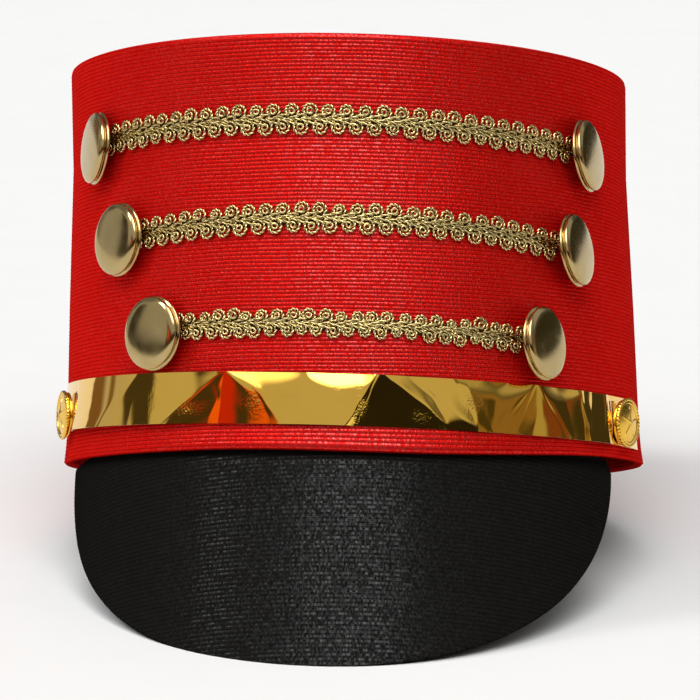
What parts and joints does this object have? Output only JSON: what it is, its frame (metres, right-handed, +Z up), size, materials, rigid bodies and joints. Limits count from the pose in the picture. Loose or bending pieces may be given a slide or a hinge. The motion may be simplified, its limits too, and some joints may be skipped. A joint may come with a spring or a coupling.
{
  "type": "military cap",
  "caption": "Oval cloth-covered drum-major cap with a flat top, steep curved peak, foil strip, rows of scalloped braid and domed buttons; open below for the head.",
  "frame": {"origin": "on the surface the cap rests on, under the middle of its bounding box", "axes": "+Z up, -Y to the front where the peak points, +X to the right as seen from the front"},
  "size_m": [0.1796, 0.258, 0.1698],
  "materials": {
    "red_cloth": "ribbed satin cloth, soft sheen",
    "black_cloth": "ribbed black cloth over a stiff sheet",
    "gold_foil": "metallised mirror-gold film, crinkled",
    "gold_braid": "metallic yarn scroll braid",
    "pale_gold": "polished pale-gold plate",
    "yellow_gold": "polished yellow-gold plate"
  },
  "bodies": {
    "root": {"crown_side": "red_cloth", "crown_top": "red_cloth", "peak": "black_cloth", "foil_strip": "gold_foil", "side_button_left": "yellow_gold", "side_button_right": "yellow_gold", "braid_upper": "gold_braid", "braid_middle": "gold_braid", "braid_lower": "gold_braid", "button_upper_left": "pale_gold", "button_upper_right": "pale_gold", "button_middle_left": "pale_gold", "button_middle_right": "pale_gold", "button_lower_left": "pale_gold", "button_lower_right": "pale_gold"}
  },
  "joints": []
}
